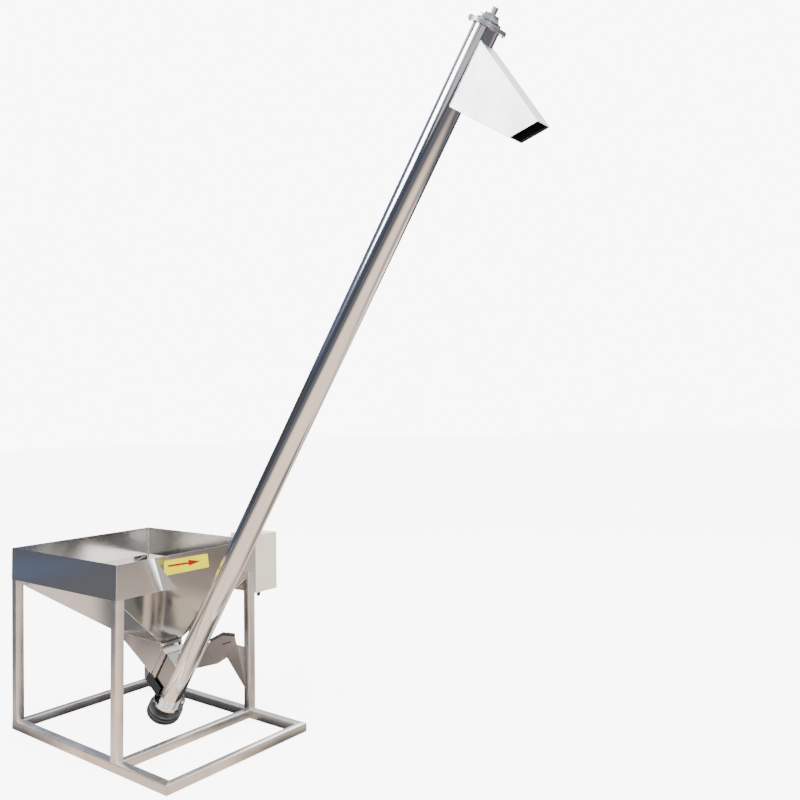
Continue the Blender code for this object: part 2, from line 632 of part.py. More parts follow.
def build_control_box():
    """Control box on the hopper's right side: mounting plate, case, lid and a gland."""
    lo, hi = BOX_LO, BOX_HI
    y_plate = HOP_Y + GAP
    plate_lo = Vector((lo.x + MOUNT_IN, y_plate, lo.z + MOUNT_IN))
    size = Vector((hi.x - lo.x - 2 * MOUNT_IN, 0, hi.z - lo.z - 2 * MOUNT_IN))
    loop = [plate_lo, plate_lo + Vector((size.x, 0, 0)), plate_lo + Vector((size.x, 0, size.z)),
            plate_lo + Vector((0, 0, size.z))]
    prism("control_mount", loop, (0, MOUNT_THICK, 0), "box_paint")
    y1 = hi.y - LID_DEPTH - GAP
    pan("control_case", lo, hi, lo.y, y1, CASE_WALL)
    pan("control_lid", lo, hi, hi.y, hi.y - LID_DEPTH, CASE_WALL)
    centre = Vector((hi.x - GLAND_AT[0], lo.y + GLAND_AT[1], lo.z - GAP))
    verts, segs = [], GLAND_SEGS
    for r, drop in GLAND:
        verts += [centre + Vector((r * math.cos(2 * math.pi * k / segs),
                                   r * math.sin(2 * math.pi * k / segs), -drop)) for k in range(segs)]
    faces = [tuple(range(segs)), tuple(range(4 * segs - 1, 3 * segs - 1, -1))]
    for ring in range(3):
        a, b = segs * ring, segs * (ring + 1)
        faces += [(a + k, a + (k + 1) % segs, b + (k + 1) % segs, b + k) for k in range(segs)]
    add("cable_gland", verts, faces, "black_plastic", smooth=True)


def recentre():
    """Move everything so that the origin is under the middle of the whole box."""
    bpy.context.view_layer.update()
    low, high = Vector((1e9, 1e9, 1e9)), Vector((-1e9, -1e9, -1e9))
    for obj in bpy.data.objects:
        for vert in obj.data.vertices:
            p = obj.location + vert.co
            for k in range(3):
                low[k], high[k] = min(low[k], p[k]), max(high[k], p[k])
    shift = Vector(((low.x + high.x) / 2, (low.y + high.y) / 2, low.z))
    for obj in bpy.data.objects:
        if obj.location.length > 0:
            obj.location -= shift
        else:
            for vert in obj.data.vertices:
                vert.co -= shift


def main():
    for obj in list(bpy.data.objects):
        bpy.data.objects.remove(obj)
    build_frame()
    build_hopper()
    build_throat()
    build_inlet()
    build_tube()
    build_ends()
    build_screw()
    build_chute()
    build_bracket()
    build_control_box()
    recentre()


main()
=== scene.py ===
"""Looks of the inclined screw conveyor: materials, welds, bolts, sticker, floor, light, camera."""
import json
import math
import random

import bmesh
import bpy
from mathutils import Matrix, Vector


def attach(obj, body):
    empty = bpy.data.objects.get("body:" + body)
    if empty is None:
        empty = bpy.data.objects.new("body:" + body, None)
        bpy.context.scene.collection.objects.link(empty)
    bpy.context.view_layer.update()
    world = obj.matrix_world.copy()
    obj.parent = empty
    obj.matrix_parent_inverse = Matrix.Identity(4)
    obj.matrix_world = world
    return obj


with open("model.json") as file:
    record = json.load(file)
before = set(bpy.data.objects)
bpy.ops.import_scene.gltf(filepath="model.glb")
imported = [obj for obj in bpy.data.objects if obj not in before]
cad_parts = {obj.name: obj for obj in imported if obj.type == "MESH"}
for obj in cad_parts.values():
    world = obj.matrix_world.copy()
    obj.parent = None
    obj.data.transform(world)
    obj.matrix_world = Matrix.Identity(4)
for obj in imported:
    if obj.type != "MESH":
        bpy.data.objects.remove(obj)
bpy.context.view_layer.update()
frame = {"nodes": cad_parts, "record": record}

random.seed(7)

# Sizes shared with the model, in metres, in the model's own corner frame
CORNER = Vector((1.4204, 0.44, 0.0))    # world = corner frame - CORNER
TUBE_S = 0.040                          # side of the frame's square tube
HOP_X, HOP_Y = 0.910, 0.740             # the hopper's rim
OUTRIGGER = 0.360                       # how far the floor frame runs past the hopper
REAR_IN = 0.025                         # how far the rear legs stand in at the floor
RIM_Z, BAND_Z = 0.860, 0.710            # upper and lower edge of the hopper's band
NECK_X0, NECK_X1, NECK_Z, NECK_HALF = 0.405, 0.760, 0.435, 0.055
SHEET = 0.002
RECESS_IN, RECESS_DROP = 0.045, 0.170   # the recess's upper facet leans in by this over this height
AXIS_X, AXIS_DEG = 0.631, 55.0          # where the screw's axis meets the floor, and its lean
COLLAR_N = 0.1103                       # the collar's top, out from the axis towards the hopper
BEAD_R = 0.0022                         # usual radius of a weld bead

# Places along the screw's axis from the floor; the two plates with their lower and upper side
HEAD_PLATE, HEAD_HOUSING, HEAD_FLANGE, NIPPLE = (3.4650, 3.4800), 3.4803, 3.4905, 3.503
FOOT_PLATE, FOOT_BEARING = (0.1900, 0.2047), 0.1797
PULLEY_END = 0.108
# The chute's corners, along the axis and out from it
CHUTE_TOP, CHUTE_LIP = (3.4164, 0.035), (3.2647, 0.4117)
CHUTE_HEEL, CHUTE_TOE = (3.1688, 0.035), (3.1737, 0.3367)
# The bracket's slot (along the axis, across from and to, width) and upper edge (along, across)
BRACKET_SLOT = (0.526, 0.134, 0.182, 0.009)
BRACKET_TOP = [(0.5665, 0.0480), (0.5895, 0.1110), (0.5555, 0.1940)]
# The control box: its two ends, its lid's screws across and up, and its gland's nut
BOX_ENDS, LID_SCREW_Y, LID_SCREW_Z = (0.9100, 0.7150), 0.8735, (0.640, 0.835)
GLAND_NUT = (0.875, 0.7906, 0.5944)

# The sticker's corners and the arrow's outline, across and up on the recess's upper facet
STICKER = [(0.2333, 0.8386), (0.4652, 0.8342), (0.4869, 0.7658), (0.2459, 0.7680)]
ARROW = [(0.258, 0.8155), (0.366, 0.8115), (0.360, 0.8225), (0.432, 0.8050), (0.372, 0.7925),
         (0.368, 0.8020), (0.259, 0.8060)]

# Level faces round the origin, radius and height: the floor, and the ground that the steel mirrors
FLOOR_R, FLOOR_Z = 40.0, -0.0005
MIRRORED_R, MIRRORED_Z = 8.0, -0.0002
SHADE_Z, SHADE_STEP = 0.0004, 0.0002    # the dark strips lie above it, each a step over the last

# Light: the ground, the backdrop, and the surroundings by height of the direction (-1 to 1)
GROUND_GLOW = 6.0
BACKDROP = 9.0
SURROUND_GAIN = 3.0
SURROUND = [(-1.00, (0.030, 0.032, 0.042)), (0.12, (0.030, 0.034, 0.050)),
            (0.36, (0.62, 0.66, 0.74)), (0.70, (1.0, 1.0, 1.0))]
# Patches over them: middle, full up to one angle and gone at the other, and tone
PATCHES = [((0.86, 0.48, -0.16), 18, 48, (0.24, 0.195, 0.165)),
           ((-0.80, 0.58, 0.14), 8, 20, (0.42, 0.37, 0.32)),
           ((-0.94, -0.14, 0.28), 18, 30, (0.060, 0.070, 0.110)),
           ((-0.62, -0.47, 0.63), 12, 22, (0.10, 0.105, 0.12)),
           ((0.83, 0.00, 0.56), 14, 30, (1.90, 1.86, 1.80)),
           ((-0.93, 0.30, 0.25), 12, 30, (0.045, 0.065, 0.125)),
           ((-0.86, -0.48, -0.18), 10, 26, (0.034, 0.035, 0.038))]
# The ground that the steel mirrors, with painted light and shade: brown areas are painted pools of
# light, darker ones painted shadows of the machine and its neighbour. Its round areas: middle, full up
# to one radius and gone at the other, and tone
GROUND_DARK = (0.024, 0.026, 0.034)
GROUND_LIGHT_AND_SHADOW = [((1.2, 0.0), 2.1, 3.7, (0.62, 0.47, 0.38)),
                ((-2.35, 0.1), 0.45, 0.80, (0.42, 0.34, 0.29)),
                ((2.7, 2.1), 0.9, 1.7, (0.20, 0.165, 0.14)),
                ((0.3, 4.2), 2.2, 3.0, (0.60, 0.54, 0.50)),
                ((0.2, 1.0), 0.40, 0.85, (0.15, 0.12, 0.10)),
                ((0.50, 1.10), 0.20, 0.50, (0.075, 0.062, 0.050)),
                ((-0.28, 0.18), 0.16, 0.34, (0.070, 0.072, 0.060)),
                ((-5.6, -2.4), 0.3, 0.9, (0.020, 0.040, 0.095)),
                ((-1.35, 0.1), 0.55, 0.70, (0.045, 0.042, 0.042))]
# Cards that the steel mirrors: middle, the way each faces, half width, half height, tone
CARDS = {
    "neighbour": ((0.05, 1.6, 0.575), (0.0, 1.0, 0.0), 1.15, 0.325, (0.30, 0.285, 0.27)),
    "sky_card": ((-1.35, -0.38, 1.55), (-0.60, -0.47, 0.63), 0.55, 0.55, (0.020, 0.021, 0.026)),
    "bracket_card": ((-0.4947, 0.1325, 0.3772), (-0.8192, 0.0, 0.5736), 0.0425, 0.078,
                     (0.37, 0.313, 0.240)),
    "upper_card": ((1.50, -1.5, 2.64), (0.0, -1.0, 0.0), 0.60, 0.30, (0.28, 0.28, 0.295)),
}
# Dark ground beside the rear rail, the right rail, and the right rail of the outrigger: from x to x,
# from y to y
SHADES = [(REAR_IN + TUBE_S + 0.001, REAR_IN + TUBE_S + 0.30, 0.05, 0.69),
          (0.07, 0.865, HOP_Y - TUBE_S - 0.30, HOP_Y - TUBE_S - 0.001),
          (0.96, 1.22, HOP_Y - TUBE_S - 0.11, HOP_Y - TUBE_S - 0.001)]
# Light panels: name, place, aim, side, power, colour
PANELS = [("key_panel", (-2.5, -4.4, 4.7), (0.2, 0.0, 1.6), 3.0, 420.0, (0.93, 0.96, 1.0)),
          ("fill_panel", (4.2, -2.6, 2.6), (0.0, 0.0, 1.0), 1.6, 90.0, (1.0, 0.97, 0.93)),
          ("rim_panel", (-2.2, 4.4, 3.8), (0.0, 0.0, 1.4), 2.4, 130.0, (1.0, 1.0, 1.0))]

# The fitted camera: its place, its three directions, its lens and the shift of its picture
CAMERA_PLACE = (2.703812, -2.362923, 1.494365)
CAMERA_RIGHT = (0.8162016, 0.5772821, -0.0236697)
CAMERA_UP = (0.0570033, -0.0396923, 0.9975847)
CAMERA_BACK = (0.5749483, -0.8155795, -0.0653039)
SENSOR, LENS = 36.0, 35.738
SHIFT_X, SHIFT_Y = -0.08568, -0.05573

LEAN = math.radians(AXIS_DEG)
ALONG = Vector((math.cos(LEAN), 0.0, math.sin(LEAN)))
OUT = Vector((math.sin(LEAN), 0.0, -math.cos(LEAN)))
ACROSS = Vector((0.0, 1.0, 0.0))
FOOT = Vector((AXIS_X, HOP_Y / 2, 0.0))


def at(x, y, z):
    """A corner-frame point in the world."""
    return Vector((x, y, z)) - CORNER


def on_axis(t, n=0.0, y=0.0):
    """A world point so far along, out from and across the screw's axis."""
    return FOOT + ALONG * t + OUT * n + ACROSS * y - CORNER


# Materials

def start_material(name):
    """A new material with its node tree, links and shader."""
    mat = bpy.data.materials.new(name)
    mat.use_nodes = True
    tree = mat.node_tree
    return mat, tree.nodes, tree.links, tree.nodes["Principled BSDF"]


def mapped(nodes, links, scale, turn=0.0):
    """Object coordinates, turned about Y, then scaled."""
    coord = nodes.new("ShaderNodeTexCoord")
    out = coord.outputs["Object"]
    for rotation, size in (((0, turn, 0), (1, 1, 1)), ((0, 0, 0), scale)):
        mapping = nodes.new("ShaderNodeMapping")
        mapping.inputs["Rotation"].default_value = rotation
        mapping.inputs["Scale"].default_value = size
        links.new(out, mapping.inputs["Vector"])
        out = mapping.outputs["Vector"]
    return out


def noise(nodes, links, vector, scale, detail=4.0, rough=0.55):
    """Value noise over a vector, from 0 to 1."""
    tex = nodes.new("ShaderNodeTexNoise")
    tex.inputs["Scale"].default_value = scale
    tex.inputs["Detail"].default_value = detail
    tex.inputs["Roughness"].default_value = rough
    links.new(vector, tex.inputs["Vector"])
    return tex.outputs["Fac"]


def ramp(nodes, links, value, stops):
    """Colours by value, from (place, colour) stops."""
    node = nodes.new("ShaderNodeValToRGB")
    elements = node.color_ramp.elements
    while len(elements) < len(stops):
        elements.new(0.5)
    for element, (place, colour) in zip(elements, stops):
        element.position = place
        element.color = (*colour, 1.0)
    links.new(value, node.inputs["Fac"])
    return node.outputs["Color"]


def span(nodes, links, value, low, high, start=0.3, end=0.7):
    """A value between start and end, carried over to low and high."""
    node = nodes.new("ShaderNodeMapRange")
    for socket, number in (("From Min", start), ("From Max", end), ("To Min", low), ("To Max", high)):
        node.inputs[socket].default_value = number
    links.new(value, node.inputs["Value"])
    return node.outputs["Result"]


def blend_colour(nodes, links, factor, first, second, mode="MIX"):
    """Two colours blended by a factor, which is a number or another node's value."""
    node = nodes.new("ShaderNodeMix")
    node.data_type = "RGBA"
    node.blend_type = mode
    if isinstance(factor, float):
        node.inputs[0].default_value = factor
    else:
        links.new(factor, node.inputs[0])
    links.new(first, node.inputs[6])
    links.new(second, node.inputs[7])
    return node.outputs[2]


def laid_over(nodes, links, share, colour, tint):
    """A plain tone laid over a colour by its share."""
    node = nodes.new("ShaderNodeMix")
    node.data_type = "RGBA"
    links.new(share, node.inputs[0])
    links.new(colour, node.inputs[6])
    node.inputs[7].default_value = (*tint, 1.0)
    return node.outputs[2]


def bump(nodes, links, bsdf, value, strength, distance):
    """Fine relief of a value on the shader."""
    node = nodes.new("ShaderNodeBump")
    node.inputs["Strength"].default_value = strength
    node.inputs["Distance"].default_value = distance
    links.new(value, node.inputs["Height"])
    links.new(node.outputs["Normal"], bsdf.inputs["Normal"])


def steel(name, dark, light, rough, grain, turn=0.0, cloud=3.0, relief=0.10, low_tone_share=0.0,
          streaks=0.8):
    """Brushed or polished steel: cloudy tone, fine grain along one direction, a little relief.

    With low_tone_share, it turns a darker brown near the floor, up to that share."""
    mat, nodes, links, bsdf = start_material(name)
    bsdf.inputs["Metallic"].default_value = 1.0
    broad = noise(nodes, links, mapped(nodes, links, (1, 1, 1), turn), cloud, 3.0)
    fine = noise(nodes, links, mapped(nodes, links, grain, turn), 1.0, 5.0, 0.65)
    tone = ramp(nodes, links, broad, [(0.30, dark), (0.70, light)])
    streak = ramp(nodes, links, fine, [(0.30, (0.86,) * 3), (0.70, (1.0,) * 3)])
    colour = blend_colour(nodes, links, streaks, tone, streak, "MULTIPLY")
    # Darker and browner towards the floor, up to the given share
    if low_tone_share:
        coord = nodes.new("ShaderNodeTexCoord")
        split = nodes.new("ShaderNodeSeparateXYZ")
        links.new(coord.outputs["Object"], split.inputs["Vector"])
        near_floor = span(nodes, links, split.outputs["Z"], low_tone_share, 0.0, 0.0, 0.09)
        low_tone = ramp(nodes, links, broad, [(0.3, (0.30, 0.27, 0.23)), (0.7, (0.48, 0.45, 0.40))])
        colour = blend_colour(nodes, links, near_floor, colour, low_tone)
    links.new(colour, bsdf.inputs["Base Color"])
    mixed = nodes.new("ShaderNodeMath")
    mixed.operation = "ADD"
    links.new(span(nodes, links, broad, rough[0], rough[1]), mixed.inputs[0])
    links.new(span(nodes, links, fine, -0.04 * streaks, 0.04 * streaks), mixed.inputs[1])
    links.new(mixed.outputs[0], bsdf.inputs["Roughness"])
    bump(nodes, links, bsdf, fine, relief, 0.0004)
    return mat


def coated(name, dark, light, rough, metallic=0.0, grain=900.0, relief=0.15, cloud=12.0):
    """Paint, plastic, rubber or cast metal: cloudy tone with an even fine relief."""
    mat, nodes, links, bsdf = start_material(name)
    bsdf.inputs["Metallic"].default_value = metallic
    vector = mapped(nodes, links, (1, 1, 1))
    broad = noise(nodes, links, vector, cloud, 4.0)
    fine = noise(nodes, links, vector, grain, 3.0)
    links.new(ramp(nodes, links, broad, [(0.3, dark), (0.7, light)]), bsdf.inputs["Base Color"])
    links.new(span(nodes, links, broad, rough[0], rough[1]), bsdf.inputs["Roughness"])
    bump(nodes, links, bsdf, fine, relief, 0.0003)
    return mat


def weld_material(name):
    """Weld bead: bright steel with straw and blue heat tint in patches."""
    mat, nodes, links, bsdf = start_material(name)
    bsdf.inputs["Metallic"].default_value = 1.0
    vector = mapped(nodes, links, (1, 1, 1))
    broad = noise(nodes, links, vector, 45.0, 3.0)
    fine = noise(nodes, links, vector, 700.0, 3.0)
    tint = ramp(nodes, links, broad, [(0.34, (0.45, 0.47, 0.52)), (0.46, (0.66, 0.65, 0.63)),
                                      (0.60, (0.72, 0.70, 0.66)), (0.72, (0.58, 0.50, 0.40))])
    links.new(tint, bsdf.inputs["Base Color"])
    links.new(span(nodes, links, fine, 0.32, 0.50), bsdf.inputs["Roughness"])
    bump(nodes, links, bsdf, fine, 0.2, 0.0003)
    return mat


MATS = {
    "frame_steel": steel("frame_satin", (0.60, 0.585, 0.56), (0.72, 0.705, 0.68), (0.28, 0.38),
                         (160, 160, 160), cloud=9.0, relief=0.08, low_tone_share=0.35),
    "sheet_steel": steel("sheet_mill", (0.58, 0.565, 0.545), (0.64, 0.625, 0.605), (0.12, 0.17),
                         (6, 240, 240), cloud=2.2, relief=0.03, streaks=0.25),
    "tube_steel": steel("tube_polished", (0.71, 0.695, 0.68), (0.77, 0.755, 0.74), (0.09, 0.13),
                        (3, 260, 260), turn=LEAN, cloud=3.5, relief=0.02, streaks=0.25),
    "chute_steel": steel("chute_matt", (0.80, 0.795, 0.79), (0.88, 0.88, 0.87), (0.36, 0.50),
                         (60, 60, 60), cloud=6.0, relief=0.06),
    "screw_steel": steel("screw_plain", (0.44, 0.44, 0.44), (0.60, 0.60, 0.60), (0.28, 0.42),
                         (120, 120, 120), cloud=14.0, relief=0.12),
    "cast_metal": coated("cast_grey", (0.15, 0.155, 0.165), (0.25, 0.255, 0.27), (0.38, 0.55), 1.0,
                         grain=420.0, relief=0.35, cloud=30.0),
    "black_iron": coated("iron_black", (0.045, 0.045, 0.048), (0.090, 0.090, 0.094), (0.30, 0.48),
                         0.35, grain=500.0, relief=0.25, cloud=24.0),
    "box_paint": coated("paint_beige", (0.93, 0.84, 0.66), (0.96, 0.89, 0.72), (0.38, 0.50), 0.0,
                        grain=1100.0, relief=0.22, cloud=7.0),
    "black_plastic": coated("plastic_black", (0.018, 0.018, 0.019), (0.035, 0.035, 0.036),
                            (0.42, 0.55), 0.0, grain=1400.0),
    "black_rubber": coated("rubber_black", (0.004, 0.004, 0.005), (0.010, 0.010, 0.011),
                           (0.55, 0.75), 0.0, grain=900.0),
}
# Pieces that differ from the rest of their slot
NODE_MATS = {
    "motor_bracket": steel("bracket_dull", (0.27, 0.26, 0.26), (0.34, 0.33, 0.325), (0.42, 0.50),
                           (60, 60, 60), cloud=5.0, relief=0.04, streaks=0.25),
    "head_plate": coated("plate_machined", (0.36, 0.36, 0.39), (0.48, 0.48, 0.52), (0.30, 0.42),
                         1.0, grain=500.0, relief=0.15, cloud=30.0),
    # The inlet box: the sheet steel in a darker copy, painted shade
    "inlet_box": steel("inlet_mill_shaded", (0.350, 0.358, 0.342), (0.385, 0.393, 0.376), (0.14, 0.19),
                       (6, 240, 240), cloud=2.2, relief=0.03, streaks=0.25),
}
WELD = weld_material("weld_bead")
BOLT = coated("bolt_zinc", (0.46, 0.47, 0.48), (0.66, 0.67, 0.67), (0.26, 0.42), 1.0,
              grain=800.0, relief=0.15, cloud=60.0)
DARK_BOLT = coated("bolt_dark", (0.10, 0.10, 0.11), (0.20, 0.20, 0.21), (0.34, 0.50), 1.0,
                   grain=800.0, relief=0.15, cloud=60.0)
YELLOW = coated("sticker_yellow", (0.92, 0.84, 0.002), (0.96, 0.90, 0.004), (0.35, 0.50), 0.0,
                grain=700.0, relief=0.05, cloud=18.0)
RED = coated("sticker_red", (0.42, 0.010, 0.006), (0.56, 0.018, 0.010), (0.35, 0.50), 0.0,
             grain=700.0, relief=0.05, cloud=22.0)
for film, glow in ((YELLOW, 0.4), (RED, 0.0)):      # both dull; the yellow glows a little, painted light
    shader = film.node_tree.nodes["Principled BSDF"]
    shader.inputs["Specular IOR Level"].default_value = 0.15
    shader.inputs["Emission Color"].default_value = (1.0, 0.94, 0.0, 1.0)
    shader.inputs["Emission Strength"].default_value = glow


# Edges and shading of the model's own pieces

def clean_group(name, angle):
    """Joined points, smooth faces and sharp edges past an angle."""
    group = bpy.data.node_groups.new(name, "GeometryNodeTree")
    group.interface.new_socket("Geometry", in_out="INPUT", socket_type="NodeSocketGeometry")
    group.interface.new_socket("Geometry", in_out="OUTPUT", socket_type="NodeSocketGeometry")
    nodes, links = group.nodes, group.links
    first, last = nodes.new("NodeGroupInput"), nodes.new("NodeGroupOutput")
    drop = nodes.new("GeometryNodeRemoveAttribute")
    drop.inputs["Name"].default_value = "custom_normal"
    join = nodes.new("GeometryNodeMergeByDistance")
    join.inputs["Distance"].default_value = 1e-5
    smooth = nodes.new("GeometryNodeSetShadeSmooth")
    smooth.domain = "FACE"
    smooth.inputs["Shade Smooth"].default_value = True
    crease = nodes.new("GeometryNodeSetShadeSmooth")
    crease.domain = "EDGE"
    crease.inputs["Shade Smooth"].default_value = False
    edge = nodes.new("GeometryNodeInputMeshEdgeAngle")
    past = nodes.new("FunctionNodeCompare")
    past.data_type = "FLOAT"
    past.operation = "GREATER_THAN"
    past.inputs[1].default_value = angle
    chain = (first, drop, join, smooth, crease, last)
    for a, b in zip(chain, chain[1:]):
        links.new(a.outputs["Geometry"], b.inputs["Geometry"])
    links.new(edge.outputs["Unsigned Angle"], past.inputs[0])
    links.new(past.outputs[0], crease.inputs["Selection"])
    return group


CLEAN = {deg: clean_group("clean_%d" % deg, math.radians(deg)) for deg in (22, 35, 50)}
# For each slot, the angle in degrees past which an edge is sharp, and the width of its bevel
BEVELS = {"frame_steel": (50, 0.0004), "sheet_steel": (22, 0.0006), "tube_steel": (35, 0.0006),
          "chute_steel": (35, 0.0005), "screw_steel": (35, 0.0004), "cast_metal": (35, 0.0010),
          "black_iron": (35, 0.0006), "box_paint": (35, 0.0006), "black_plastic": (35, 0.0006),
          "black_rubber": (35, 0.0004)}


def dress_nodes():
    """Material, clean shading and small bevels on each of the model's pieces."""
    slots = {s["node"]: s["material_slot"] for s in frame["record"]["subparts"]}
    for name, obj in frame["nodes"].items():
        slot = slots[name]
        for k in range(len(obj.material_slots)):
            obj.material_slots[k].material = NODE_MATS.get(name, MATS[slot])
        deg, width = BEVELS[slot]
        clean = obj.modifiers.new("clean", "NODES")
        clean.node_group = CLEAN[deg]
        flat = obj.modifiers.new("flat", "DECIMATE")
        flat.decimate_type = "DISSOLVE"
        flat.angle_limit = math.radians(0.4)
        edge = obj.modifiers.new("edge", "BEVEL")
        edge.limit_method = "ANGLE"
        edge.angle_limit = math.radians(deg)
        edge.width = width
        edge.segments = 2
        edge.harden_normals = True


# Added pieces

def finish_piece(name, bm, mat, body, smooth_deg=40):
    """Turn a working mesh into a piece that rides on a body."""
    bmesh.ops.recalc_face_normals(bm, faces=bm.faces)
    for face in bm.faces:
        face.smooth = True
    for edge in bm.edges:
        if len(edge.link_faces) == 2 and edge.calc_face_angle() > math.radians(smooth_deg):
            edge.smooth = False
    mesh = bpy.data.meshes.new(name)
    bm.to_mesh(mesh)
    bm.free()
    mesh.materials.append(mat)
    obj = bpy.data.objects.new(name, mesh)
    bpy.context.scene.collection.objects.link(obj)
    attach(obj, body)
    return obj


def basis(axis):
    """Two directions square to an axis."""
    axis = axis.normalized()
    other = Vector((0, 0, 1)) if abs(axis.z) < 0.9 else Vector((1, 0, 0))
    u = axis.cross(other).normalized()
    return u, axis.cross(u).normalized()


def ring(bm, centre, u, v, radius, count, turn=0.0):
    """Points on a circle."""
    angles = [turn + 2 * math.pi * k / count for k in range(count)]
    return [bm.verts.new(centre + (u * math.cos(a) + v * math.sin(a)) * radius) for a in angles]


def skin(bm, rings):
    """Faces from ring to ring, and the two ends closed."""
    count = len(rings[0])
    for a, b in zip(rings, rings[1:]):
        for k in range(count):
            n = (k + 1) % count
            bm.faces.new((a[k], a[n], b[n], b[k]))
    bm.faces.new(rings[0][::-1])
    bm.faces.new(rings[-1])


def lathe(bm, origin, axis, profile, segs=24):
    """Closed turned body through (radius, height) rings."""
    u, v = basis(axis)
    axis = axis.normalized()
    skin(bm, [ring(bm, origin + axis * h, u, v, r, segs) for r, h in profile])


def bead(bm, a, b, r=BEAD_R, sides=8):
    """Weld bead from a to b: overlapping scales, its ends drawn in."""
    run = b - a
    length = run.length
    u, v = basis(run)
    step, scale = 0.0014, 0.0042
    count = max(4, int(length / step))
    pitch = scale * random.uniform(0.9, 1.1)
    rings = []
    for i in range(count + 1):
        s = length * i / count
        phase = (s / pitch) % 1.0
        size = r * (0.80 + 0.22 * math.sin(math.pi * phase) + 0.05 * random.random())
        size *= min(1.0, 0.35 + min(s, length - s) / (1.5 * r))
        rings.append(ring(bm, a + run * (s / length), u, v, size, sides))
    skin(bm, rings)


def beads(name, lines, r=BEAD_R):
    """A piece of weld beads along straight lines."""
    bm = bmesh.new()
    for a, b in lines:
        bead(bm, a, b, r)
    finish_piece(name, bm, WELD, "machine", 60)


def chain(points, closed=False):
    """The lines from point to point."""
    pairs = list(zip(points, points[1:]))
    return pairs + [(points[-1], points[0])] if closed else pairs


def hexagon(bm, origin, axis, flats, height, chamfer=0.0006, turn=0.0):
    """Hexagonal head or nut with a chamfered top."""
    u, v = basis(axis)
    axis = axis.normalized()
    radius = flats / math.sqrt(3)
    profile = ((radius, 0.0), (radius, height - chamfer), (0.90 * radius, height))
    skin(bm, [ring(bm, origin + axis * h, u, v, r, 6, turn) for r, h in profile])


def bolt(bm, origin, axis, size, stud=0.0):
    """Washer, hexagon head and, with a stud, threaded end standing out of it."""
    washer, head, pitch = size * 0.16, size * 0.66, size * 0.16
    lathe(bm, origin, axis, [(size * 1.05, 0.0), (size * 1.05, washer)])
    hexagon(bm, origin + axis * washer, axis, size * 1.62, head, turn=random.uniform(0, math.pi / 3))
    if stud:
        rings, h = [], washer + head
        while h < washer + head + stud:
            rings += [(size * 0.50, h), (size * 0.43, h + pitch / 2)]
            h += pitch
        lathe(bm, origin, axis, rings, 16)


def bolts(name, rows, mat):
    """A piece of bolts, each given as origin, axis, size and, if it has one, stud."""
    bm = bmesh.new()
    for row in rows:
        bolt(bm, *row)
    finish_piece(name, bm, mat, "machine", 30)


def round_axis(count, first_deg):
    """Directions square to the screw's axis, evenly spaced from a first angle."""
    angles = [math.radians(first_deg + 360 / count * k) for k in range(count)]
    return [OUT * math.cos(a) + ACROSS * math.sin(a) for a in angles]


def slab(bm, loop, offset):
    """A flat closed piece: a loop of points and its copy moved by an offset."""
    low = [bm.verts.new(p) for p in loop]
    high = [bm.verts.new(p + offset) for p in loop]
    skin(bm, [low, high])


def frame_welds():
    """Fillets at the leg feet, crossbar ends and mitres, and low seams over the mitres."""
    end, short, corner, proud, sunk, low_r = 0.003, 0.002, 0.004, 0.0006, 0.0004, 0.0014
    lines = []
    z = TUBE_S + proud
    for x in (REAR_IN, HOP_X - TUBE_S):
        for inner, outer in ((TUBE_S, end), (HOP_Y - TUBE_S, HOP_Y - end)):
            lines += chain([at(x, outer, z), at(x, inner, z), at(x + TUBE_S, inner, z),
                            at(x + TUBE_S, outer, z)])
    x0, x1 = HOP_X - TUBE_S, HOP_X
    for y in (TUBE_S, HOP_Y - TUBE_S):
        for x in (x0, x1):
            lines.append((at(x, y, end), at(x, y, TUBE_S - short)))
        lines.append((at(x0 + end, y, TUBE_S), at(x1 - end, y, TUBE_S)))
    front = HOP_X + OUTRIGGER
    mitres = ((REAR_IN, 0, 1, 1), (REAR_IN, HOP_Y, 1, -1), (front, 0, -1, 1), (front, HOP_Y, -1, -1))
    low = []
    for cx, cy, sx, sy in mitres:
        inner = (cx + sx * TUBE_S, cy + sy * TUBE_S)
        lines.append((at(*inner, end), at(*inner, TUBE_S - short)))
        low.append((at(cx + sx * corner, cy + sy * corner, TUBE_S - sunk), at(*inner, TUBE_S - sunk)))
    beads("frame_welds", lines)
    beads("mitre_seams", low, r=low_r)


def hopper_welds():
    """Seams in the hopper's corners, outside on the funnel and inside from rim to neck."""
    y0, y1 = HOP_Y / 2 - NECK_HALF, HOP_Y / 2 + NECK_HALF
    rim = [(0, 0), (HOP_X, 0), (HOP_X, HOP_Y), (0, HOP_Y)]
    neck = [(NECK_X0, y0), (NECK_X1, y0), (NECK_X1, y1), (NECK_X0, y1)]
    first, last = 0.13, 0.99                # where an outer seam starts and ends, as a share
    proud, gap, steep = 0.0006, 0.004, 1.2
    off = SHEET + proud                     # a bead's middle from the sheet's outer face, inside
    outside, inside = [], []
    for (rx, ry), (nx, ny) in zip(rim, neck):
        a, b = Vector((rx, ry, BAND_Z)), Vector((nx, ny, NECK_Z))
        outside.append((at(*(a + (b - a) * first)), at(*(a + (b - a) * last))))
        sx, sy = (1 if rx == 0 else -1), (1 if ry == 0 else -1)
        step = Vector((sx, sy, 0)) * off
        inside.append((at(rx, ry, RIM_Z - gap) + step, at(rx, ry, BAND_Z) + step))
        lift = Vector((sx, sy, steep)) * off
        inside.append((at(rx, ry, BAND_Z) + lift, at(nx, ny, NECK_Z + gap) + lift))
    beads("hopper_outside_welds", outside, r=0.0016)
    beads("hopper_inside_welds", inside, r=0.0019)
    beads("neck_welds", chain([at(x, y, NECK_Z) for x, y in neck], closed=True), r=0.0018)


